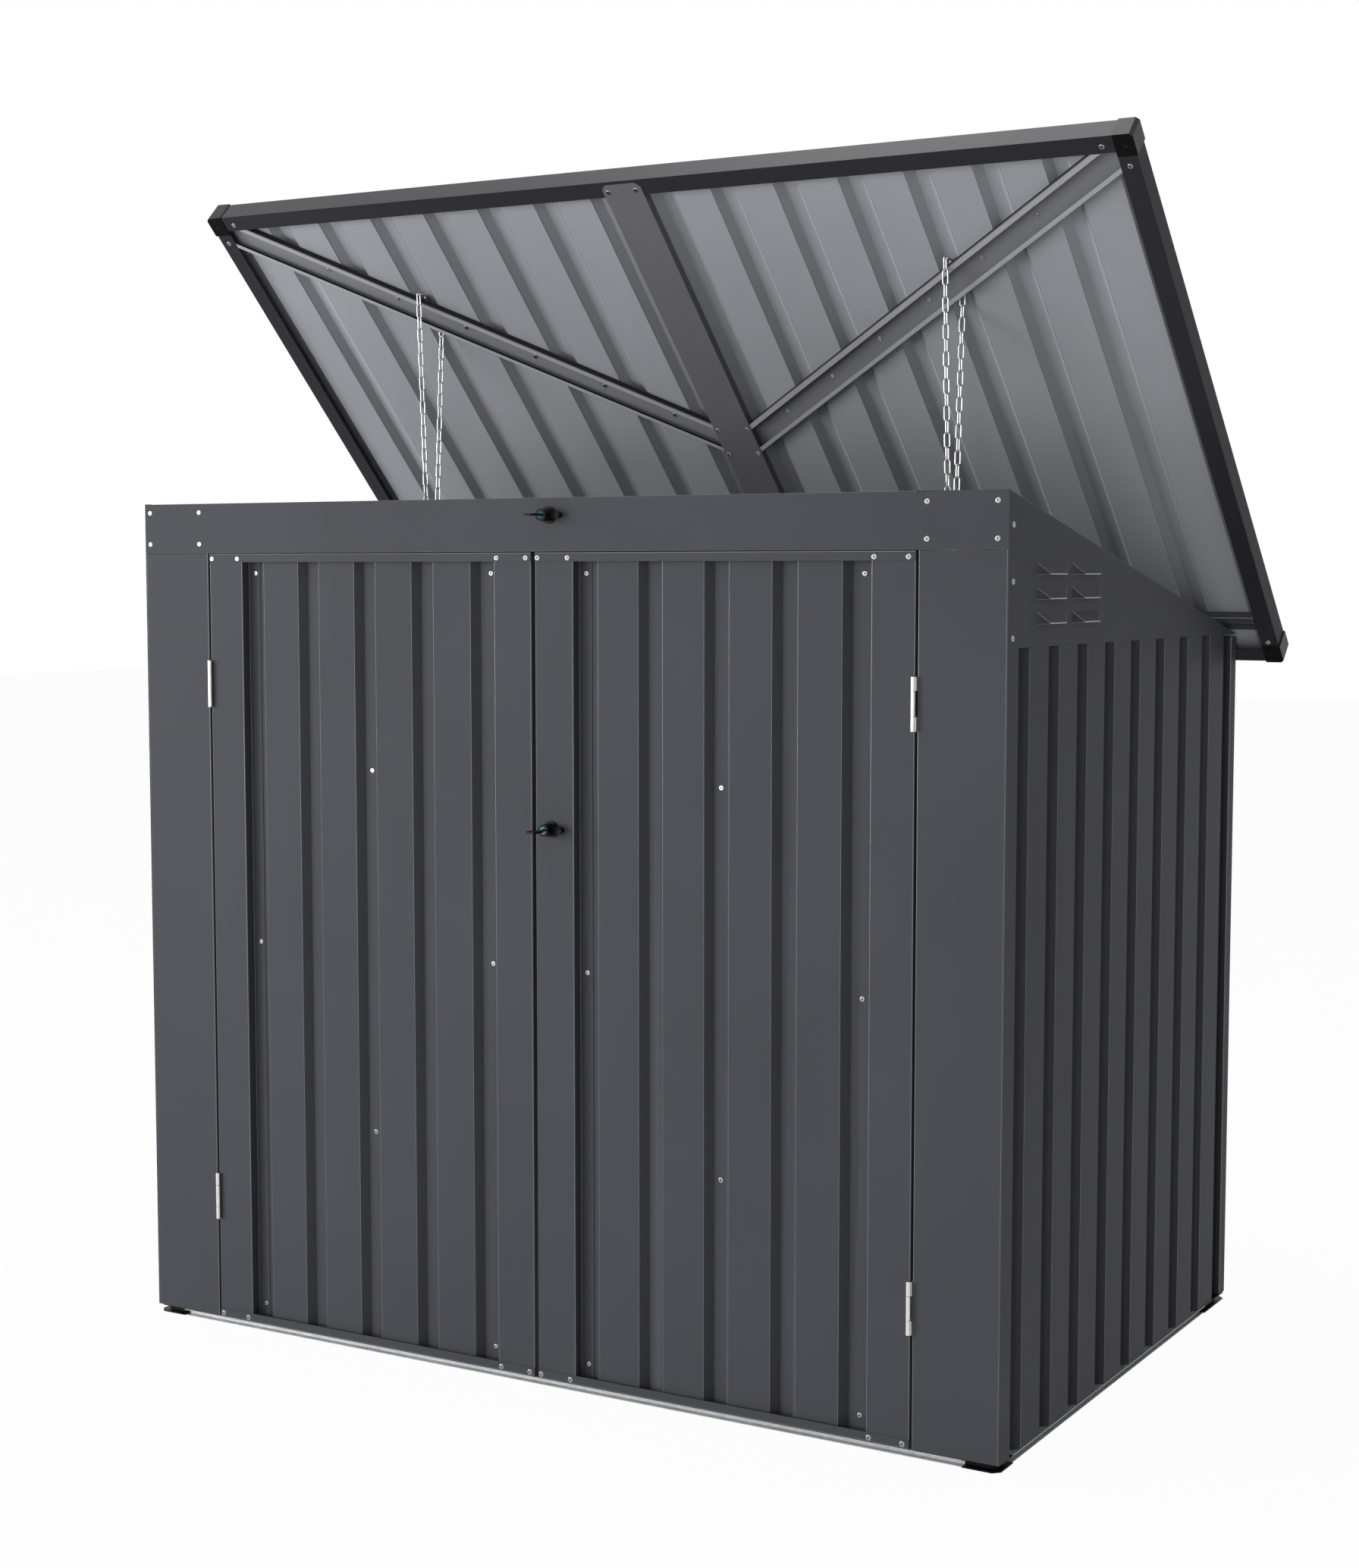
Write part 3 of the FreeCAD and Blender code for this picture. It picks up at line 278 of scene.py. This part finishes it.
def apply(piece, kind, **settings):
    """Add a modifier with its settings and apply it."""
    take(piece)
    modifier = piece.modifiers.new(kind.lower(), kind)
    for name, value in settings.items():
        setattr(modifier, name, value)
    bpy.ops.object.modifier_apply(modifier=modifier.name)


def smooth(piece, angle=35):
    """Smooth shading over gentle turns, with the flats kept flat."""
    take(piece)
    bpy.ops.object.shade_smooth_by_angle(angle=math.radians(angle))
    apply(piece, "WEIGHTED_NORMAL", keep_sharp=True)


def settle(piece):
    """Move a piece's place and turn into its mesh."""
    take(piece)
    bpy.ops.object.transform_apply(location=True, rotation=True, scale=True)


def coated(piece, *materials):
    """Give a piece its finishes; the first one covers it all until some faces take another."""
    piece.data.materials.clear()
    for material in materials:
        piece.data.materials.append(material)
    return piece


def dress(piece, name, body, slot, *materials):
    """Name a finished piece, give it its finishes and let it ride on its body."""
    piece.name = name
    if materials:
        coated(piece, *materials)
    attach(piece, body)


def solid_copy(node):
    """A copy of a CAD node with its triangles merged back into whole faces."""
    source = nodes[node]
    piece = source.copy()
    piece.data = source.data.copy()
    for key in list(piece.keys()):
        del piece[key]
    piece.parent = None
    bpy.context.scene.collection.objects.link(piece)
    edit(piece)
    bpy.ops.mesh.select_all(action="SELECT")
    bpy.ops.mesh.remove_doubles(threshold=0.00001)
    bpy.ops.mesh.dissolve_limited(angle_limit=math.radians(0.5), delimit={"NORMAL"})
    leave()
    return piece


def breadth(mesh, face):
    """Roughly the narrow side of a face: its area over its longest edge."""
    longest = max(
        (mesh.vertices[a].co - mesh.vertices[b].co).length for a, b in face.edge_keys)
    return face.area / longest


def fold_edges(piece):
    """The edges of a sheet piece's folds: (outside ones, inside ones).

    A fold lies between two faces that are each wider than the sheet is thick; the cut edges of
    the sheet are left out. An edge is on the outside where its two faces turn away from it.
    """
    mesh = piece.data
    faces_of = {}
    for face in mesh.polygons:
        for key in face.edge_keys:
            faces_of.setdefault(key, []).append(face)
    outside = set()
    inside = set()
    for edge in mesh.edges:
        faces = faces_of.get(edge.key, [])
        if len(faces) != 2 or any(breadth(mesh, face) < NARROWEST_FACE * MM for face in faces):
            continue
        first, second = faces
        if first.normal.angle(second.normal) < math.radians(10):
            continue
        towards = second.center - first.center
        turned_out = first.normal.dot(towards) < 0
        (outside if turned_out else inside).add(edge.index)
    return outside, inside


def round_edges(piece, chosen, radius, segments, finish):
    """Round the chosen edges of a piece, in millimetres; the new faces take the given finish."""
    if not chosen:
        return
    pick(piece, "edges", lambda edge: edge.index in chosen)
    bpy.ops.mesh.bevel(
        offset=radius * MM, segments=segments, profile=0.5, clamp_overlap=True, material=finish)
    leave()


def folded_sheet(node, *finishes, shape=None, radius=1.3):
    """A sheet piece with its folds rounded, outside and inside; the folds take the last finish."""
    piece = coated(solid_copy(node), *finishes)
    if shape:
        shape(piece)
    fold = len(finishes) - 1
    outside = fold_edges(piece)[0]
    round_edges(piece, outside, radius, 3, fold)
    inside = fold_edges(piece)[1]
    round_edges(piece, inside, 0.6, 2, fold)
    smooth(piece)
    return piece


def turn_over(piece, towards, limit=0.3):
    """Give the second finish to the plain faces that look one way."""
    for face in piece.data.polygons:
        if face.material_index == 0 and face.normal.dot(towards) > limit:
            face.material_index = 1


SHEETS = (
    "front_pillar_left", "front_pillar_right", "header", "rear_post_left", "rear_post_right",
    "rear_top_rail", "side_panel_left", "side_panel_right", "back_panel", "gable_left",
    "gable_right", "left_door_hinge_stile", "left_door_meeting_stile", "left_door_rails",
    "left_door_panel", "left_door_braces", "right_door_hinge_stile", "right_door_meeting_stile",
    "right_door_rails", "right_door_panel", "right_door_braces", "lid_front_rail",
    "lid_rear_rail", "lid_side_rails", "lid_roof_sheet_left", "lid_roof_sheet_right",
    "lid_centre_strip", "lid_braces", "lid_hinge_rail",
)
# Faces with a second finish: which way they look, and the finish. Ribbed sheets have a lighter
# coat on their hidden side. The gables' louvres pick their own faces.
SECOND_FACES = {
    "side_panel_left": (Vector((1, 0, 0)), backing),
    "side_panel_right": (Vector((-1, 0, 0)), backing),
    "back_panel": (FORWARD, backing),
    "left_door_panel": (-FORWARD, backing), "right_door_panel": (-FORWARD, backing),
    "lid_roof_sheet_left": (LID_DOWN, backing), "lid_roof_sheet_right": (LID_DOWN, backing),
    # The lid front rail's web, looking up and forward, takes a lighter coat: painted sheen.
    "lid_front_rail": (LID_FRONT, rail_web_sheen_coat),
    # The gables' louvre edges and lips take the near white coat: painted highlight.
    "gable_left": (None, louvre_highlight_coat), "gable_right": (None, louvre_highlight_coat),
    # The braces' walls that look forward take the near black coat: painted shade.
    "lid_braces": (LID_FRONT, shade_dark_coat),
}
# Sheet pieces whose coat isn't the body's, and the finish of their folds. The lid rails' near
# black coat is painted shade.
FIRST_FACES = {
    "lid_front_rail": (shade_dark_coat, shade_dark_coat), "lid_rear_rail": (shade_dark_coat, shade_dark_coat),
    "lid_side_rails": (shade_dark_coat, shade_dark_coat), "lid_centre_strip": (strip_coat, strip_coat),
    # The braces' deep webs take the darker grey, painted shade in their recess; their folds take
    # it too.
    "lid_braces": (brace_coat, brace_web_shade_coat),
}


def stop_lip(header):
    """Fold the header's lower return down behind the doors, so that no light passes over them."""
    underside = (HEADER_BOTTOM + 0.3) * MM
    back = (FOLD_DEPTH - 1 - SETBACK) * MM
    reach = STOP_LIP_REACH * MM
    cuts = (((0, back, 0), (0, 1, 0)), ((-reach, 0, 0), (1, 0, 0)), ((reach, 0, 0), (1, 0, 0)))
    for place, direction in cuts:
        edit(header)
        bpy.ops.mesh.select_all(action="SELECT")
        bpy.ops.mesh.bisect(plane_co=place, plane_no=direction)
        leave()
    pick(header, "polygons", lambda face: (
        face.normal.z < -0.9 and face.center.z < underside and face.center.y > back
        and abs(face.center.x) < reach))
    bpy.ops.mesh.extrude_region_move(
        TRANSFORM_OT_translate={"value": (0, 0, -STOP_LIP_DROP * MM)})
    leave()


def show_seam(pillar):
    """Leave the fine seam between a pillar's top and the header."""
    top = max(vertex.co.z for vertex in pillar.data.vertices)
    pick(pillar, "vertices", lambda vertex: vertex.co.z > top - 0.1 * MM)
    bpy.ops.transform.translate(value=(0, 0, -SEAM * MM))
    leave()


def shade_brace_webs(brace):
    """Paint the deep web of each brace darker, a painted shade in its recess; the lips stay light.
    """
    low = max(face.center.dot(LID_DOWN) for face in brace.data.polygons)
    for face in brace.data.polygons:
        if face.normal.dot(LID_DOWN) > 0.9 and face.center.dot(LID_DOWN) < low - 5 * MM:
            face.material_index = 2


def paint_louvre_highlights(gable):
    """Round the edges of the louvres; those edges and the louvres' lips take a near white coat, a
    painted highlight.
    """
    proud = (GABLE_FACE + 0.2) * MM
    foot = (GABLE_FACE - 0.5) * MM
    chosen = set()
    for edge in gable.data.edges:
        ends = [abs(gable.data.vertices[index].co.x) for index in edge.vertices]
        if max(ends) > proud and min(ends) > foot:
            chosen.add(edge.index)
    for face in gable.data.polygons:
        if abs(face.center.x) > proud and abs(face.normal.x) > 0.97:
            face.material_index = 1
    round_edges(gable, chosen, 0.7, 2, 1)


SHAPING = {
    "gable_left": paint_louvre_highlights, "gable_right": paint_louvre_highlights,
    "header": stop_lip,
    "front_pillar_left": show_seam, "front_pillar_right": show_seam,
    "lid_braces": shade_brace_webs,
}


def make_sheets():
    """The folded and ribbed sheet pieces, in powder coat."""
    for node in SHEETS:
        # Unless a sheet has its own, its folds take the lighter coat, a painted highlight.
        face, fold = FIRST_FACES.get(node, (coat, fold_highlight_coat))
        towards, second = SECOND_FACES.get(node, (None, face))
        piece = folded_sheet(node, face, second, fold, shape=SHAPING.get(node))
        if towards is not None:
            turn_over(piece, towards)
        dress(piece, node + "_sheet", nodes[node]["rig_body"], "anthracite_sheet")
        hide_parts(node)


def lid_place(across, run, level):
    """A place of the flat lid, in millimetres, on the raised one."""
    flat = Vector((across, AXIS_RUN - run, level - AXIS_LEVEL)) * MM
    return Matrix.Rotation(-LID_ANGLE, 3, "X") @ flat + Vector(LID_AXIS) * MM


def close_corner(piece, side, outer):
    """Back the small chamfer of a corner cap with a web, from its underside to its top."""
    inset = 3.6
    inward = math.copysign(inset, outer)
    centre = lid_place(side * (CAP_SIDE - inset), outer - inward, CORNER_WEB_MIDDLE)
    turn = Matrix.Rotation(-LID_ANGLE, 3, "X") @ Matrix.Rotation(
        math.radians(-45) * math.copysign(1, side * outer), 3, "Z")
    bpy.ops.mesh.primitive_cube_add(size=1, location=centre, rotation=turn.to_euler())
    web = bpy.context.active_object
    web.scale = (2 * MM, 7 * MM, CORNER_WEB_HEIGHT * MM)
    settle(web)
    apply(piece, "BOOLEAN", operation="UNION", object=web, solver="EXACT")
    bpy.data.objects.remove(web)


def sink_dimple(piece, across, run):
    """Sink the small round moulding mark in the underside of a corner cap."""
    bpy.ops.mesh.primitive_cone_add(
        vertices=24, radius1=2.7 * MM, radius2=4.3 * MM, depth=2.0 * MM,
        location=lid_place(across, run, -1.5), rotation=(math.pi - LID_ANGLE, 0, 0))
    tool = bpy.context.active_object
    settle(tool)
    apply(piece, "BOOLEAN", operation="DIFFERENCE", object=tool, solver="EXACT")
    bpy.data.objects.remove(tool)


def make_mouldings():
    """Corner caps and feet of black plastic, with softened edges."""
    for node, finishes in (
            ("corner_feet", (black, black)), ("lid_corner_caps", (cap_satin, cap_under))):
        piece = solid_copy(node)
        coated(piece, *finishes)
        apply(piece, "BEVEL", width=0.7 * MM, segments=2, limit_method="ANGLE")
        if node == "lid_corner_caps":
            for side in (-1, 1):
                for outer in CAP_ENDS:
                    close_corner(piece, side, outer)
                for run in DIMPLE_RUNS:
                    sink_dimple(piece, side * DIMPLE_SIDE, run)
        smooth(piece)
        turn_over(piece, LID_DOWN, 0.8)
        dress(piece, node + "_moulding", nodes[node]["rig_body"], "black_plastic")
        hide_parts(node)


def make_base_rails():
    """Galvanised channels along the ground."""
    for node in ("base_front_rail", "base_rear_rail", "base_side_rails"):
        piece = folded_sheet(node, zinc_rail, radius=1.0)
        dress(piece, node + "_channel", nodes[node]["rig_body"], "galvanised")
        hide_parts(node)


# Repeated fixings

def places_of(node):
    """The middle and the three directions, longest first, of each solid of a CAD node."""
    piece = solid_copy(node)
    edit(piece)
    bpy.ops.mesh.select_all(action="SELECT")
    bpy.ops.mesh.separate(type="LOOSE")
    leave()
    found = []
    for part in list(bpy.context.selected_objects):
        corners = np.array([vertex.co for vertex in part.data.vertices])
        middle = corners.mean(axis=0)
        directions = np.linalg.svd(corners - middle)[2]
        found.append((Vector(middle), [Vector(row) for row in directions]))
        bpy.data.objects.remove(part)
    return found


def placement(middle, across, along, up):
    """The matrix that puts a pattern's own X, Y and Z on three directions."""
    turn = Matrix((across, along, up)).transposed()
    return Matrix.Translation(middle) @ turn.to_4x4()


def scatter(pattern, name, node, spots, slot, material):
    """Copies of a pattern at many places, joined into the one piece that replaces a node."""
    copies = []
    for spot in spots:
        one = pattern.copy()
        one.data = pattern.data.copy()
        one.matrix_world = spot
        bpy.context.scene.collection.objects.link(one)
        copies.append(one)
    deselect()
    for one in copies:
        one.select_set(True)
    bpy.context.view_layer.objects.active = copies[0]
    bpy.ops.object.join()
    piece = bpy.context.view_layer.objects.active
    settle(piece)
    dress(piece, name, nodes[node]["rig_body"], slot, material)
    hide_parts(node)


def make_screw_pattern():
    """A pan head with a cross recess, standing on its own underside along Z."""
    rise = SCREW_HEAD * MM
    bpy.ops.mesh.primitive_cylinder_add(
        vertices=24, radius=SCREW_RADIUS * MM, depth=rise, location=(0, 0, rise / 2))
    head = bpy.context.active_object
    pick(head, "polygons", lambda face: face.normal.z > 0.9)
    bpy.ops.mesh.bevel(offset=1.5 * MM, segments=4, profile=0.5)
    leave()
    for turn in (0, math.pi / 2):
        bpy.ops.mesh.primitive_cube_add(size=1, location=(0, 0, rise))
        slot = bpy.context.active_object
        slot.scale = (5 * MM, 1.1 * MM, 2.2 * MM)
        slot.rotation_euler = (0, 0, turn)
        settle(slot)
        pick(slot, "polygons", lambda face: face.normal.z < -0.9)
        bpy.ops.transform.resize(value=(0.35, 0.7, 1))
        leave()
        apply(head, "BOOLEAN", operation="DIFFERENCE", object=slot, solver="EXACT")
        bpy.data.objects.remove(slot)
    smooth(head, 40)
    return head


def make_screws():
    """Every screw of the frame, the doors and the lid."""
    pattern = make_screw_pattern()
    for node in ("frame_screws", "left_door_screws", "right_door_screws", "lid_screws"):
        spots = []
        for middle, (across, along, axis) in places_of(node):
            outward = LID_DOWN if node == "lid_screws" else FORWARD
            if abs(axis.x) > 0.9:
                outward = Vector((math.copysign(1, middle.x), 0, 0))
            if axis.dot(outward) < 0:
                axis = -axis
            side = axis.orthogonal().normalized()
            foot = middle - axis * SCREW_HEAD / 2 * MM
            spot = placement(foot, side, axis.cross(side), axis)
            turned = Matrix.Rotation(math.radians(37 * len(spots)), 4, "Z")
            spots.append(spot @ turned)
        scatter(pattern, node + "_heads", node, spots, "zinc_screws", zinc_screw)
    bpy.data.objects.remove(pattern)


def make_link_pattern():
    """One chain link of round wire, long across X and lying flat in Z."""
    bpy.ops.mesh.primitive_torus_add(
        major_radius=LINK_BEND * MM, minor_radius=LINK_WIRE * MM,
        major_segments=14, minor_segments=8)
    link = bpy.context.active_object
    for side in (-1, 1):
        pick(link, "vertices", lambda vertex: vertex.co.x * side > 0)
        bpy.ops.transform.translate(value=(side * LINK_REACH * MM, 0, 0))
        leave()
    smooth(link, 60)
    return link


def make_chains():
    """Round wire links wherever the CAD has one."""
    pattern = make_link_pattern()
    for node in ("lid_chain_wraps", "chain_left_front", "chain_left_rear", "chain_right_front",
                 "chain_right_rear"):
        spots = [
            placement(middle, long, side, long.cross(side))
            for middle, (long, side, thin) in places_of(node)]
        scatter(pattern, node + "_links", node, spots, "chain_steel", chain_steel)
    bpy.data.objects.remove(pattern)


# Locks and hinges

def make_hinges_and_locks():
    """Hinges, pins and locks: round where they turn, with softened edges."""
    finishes = (
        (hinge_steel, "hinge_steel", (
            "door_hinge_fixed_leaves", "left_door_hinge_leaves", "right_door_hinge_leaves",
            "lid_hinge_leaves", "lid_hinge_fixed_leaves", "hinge_pins")),
        (hinge_steel, "lock_steel", ("lid_lock_cam", "door_lock_cam")),
        (lock_steel, "lock_steel", ("lid_lock_cylinder", "door_lock_cylinder")),
        (black, "black_plastic", (
            "lid_lock_housing", "door_lock_housing", "lid_lock_knob", "door_lock_knob",
            "lid_lock_key", "door_lock_key")),
    )
    for material, slot, group in finishes:
        for node in group:
            piece = coated(solid_copy(node), material)
            apply(piece, "BEVEL", width=0.25 * MM, segments=2, limit_method="ANGLE",
                  angle_limit=math.radians(40))
            smooth(piece, 38)
            kind = "_moulding" if slot == "black_plastic" else "_metal"
            dress(piece, node + kind, nodes[node]["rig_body"], slot)
            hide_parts(node)


# Studio

def make_floor():
    """A plain white floor; the camera sees mostly its glow, and the rest keeps a faint shadow."""
    glow_share = 0.965
    bpy.ops.mesh.primitive_plane_add(size=40)
    floor = bpy.context.active_object
    floor.name = "floor"
    material, tree, shader, place = new_material("floor_white", 0.9, specular=0.1)
    cloud = noise(tree, place, 0.8)
    tone = ramp(tree, cloud, [(0.3, (0.86, 0.86, 0.86)), (0.7, (0.88, 0.88, 0.88))])
    tree.links.new(tone, shader.inputs["Base Color"])
    glow = tree.nodes.new("ShaderNodeEmission")
    mix = tree.nodes.new("ShaderNodeMixShader")
    path = tree.nodes.new("ShaderNodeLightPath")
    share = tree.nodes.new("ShaderNodeMath")
    share.operation = "MULTIPLY"
    share.inputs[1].default_value = glow_share
    tree.links.new(seen_directly(tree, path), share.inputs[0])
    tree.links.new(share.outputs["Value"], mix.inputs["Fac"])
    tree.links.new(shader.outputs["BSDF"], mix.inputs[1])
    tree.links.new(glow.outputs["Emission"], mix.inputs[2])
    tree.links.new(mix.outputs["Shader"], tree.nodes["Material Output"].inputs["Surface"])
    floor.data.materials.append(material)


def seen_directly(tree, path):
    """1 for rays from the camera, and for those that reach it by a reflection or through glass."""
    total = path.outputs["Is Camera Ray"]
    for name in ("Is Glossy Ray", "Is Transmission Ray"):
        either = tree.nodes.new("ShaderNodeMath")
        either.operation = "MAXIMUM"
        tree.links.new(total, either.inputs[0])
        tree.links.new(path.outputs[name], either.inputs[1])
        total = either.outputs["Value"]
    return total


def make_world():
    """A white surround, softer as a light than as a background."""
    world = bpy.data.worlds.new("studio")
    bpy.context.scene.world = world
    world.use_nodes = True
    tree = world.node_tree
    background = tree.nodes["Background"]
    background.inputs["Color"].default_value = (1, 1, 1, 1)
    place = tree.nodes.new("ShaderNodeTexCoord")
    split = tree.nodes.new("ShaderNodeSeparateXYZ")
    tree.links.new(place.outputs["Generated"], split.inputs["Vector"])
    side = tree.nodes.new("ShaderNodeMapRange")
    side.inputs["From Min"].default_value = -0.4
    side.inputs["From Max"].default_value = 0.7
    side.inputs["To Min"].default_value = 0.42
    side.inputs["To Max"].default_value = 0.09
    tree.links.new(split.outputs["X"], side.inputs["Value"])
    path = tree.nodes.new("ShaderNodeLightPath")
    strength = tree.nodes.new("ShaderNodeMapRange")
    strength.inputs["To Max"].default_value = 1.0
    tree.links.new(side.outputs["Result"], strength.inputs["To Min"])
    tree.links.new(seen_directly(tree, path), strength.inputs["Value"])
    tree.links.new(strength.outputs["Result"], background.inputs["Strength"])


def make_lamp(name, place, aim, breadth, height, power):
    """A soft rectangular lamp that points at a place."""
    data = bpy.data.lights.new(name, "AREA")
    data.shape = "RECTANGLE"
    data.size = breadth
    data.size_y = height
    data.energy = power
    lamp = bpy.data.objects.new(name, data)
    lamp.location = place
    lamp.rotation_euler = (Vector(aim) - Vector(place)).to_track_quat("-Z", "Y").to_euler()
    bpy.context.scene.collection.objects.link(lamp)


def make_camera():
    """The photograph's camera, worked out from the store's own edges."""
    data = bpy.data.cameras.new("camera")
    data.sensor_fit = "HORIZONTAL"
    data.sensor_width = 36
    data.lens = 66.105
    camera = bpy.data.objects.new("camera", data)
    yaw = 0.53006
    pitch = -0.08473
    camera.location = (2.04005, -3.53627, 1.21927)
    camera.rotation_euler = (math.pi / 2 + pitch, 0, yaw)
    bpy.context.scene.collection.objects.link(camera)
    bpy.context.scene.camera = camera


make_sheets()
make_mouldings()
make_base_rails()
make_screws()
make_chains()
make_hinges_and_locks()
make_floor()
make_world()
make_lamp("overhead", (0, 0.2, 4.2), (0, -0.3, 0), 2.5, 2.0, 60)
make_lamp("high_front", (-0.3, -2.6, 3.8), (-0.3, -1.8, 0), 1.5, 1.2, 10)
make_lamp("key_left", (-8.4, -7.1, 2.2), (0, -0.3, 1.1), 4.2, 3.6, 560)
make_lamp("front_left", (-2.2, -6.9, 1.8), (0, -0.3, 1.1), 2.4, 2.2, 25)
make_lamp("low_fill", (-3.6, -5.4, 0.4), (0.5, -0.4, 0.3), 3.0, 0.7, 60)
make_lamp("edge_strip", (1.9, -6.2, 1.6), (0, -0.4, 1.0), 0.5, 3.0, 34)
make_camera()
bpy.context.scene.view_settings.view_transform = "Standard"
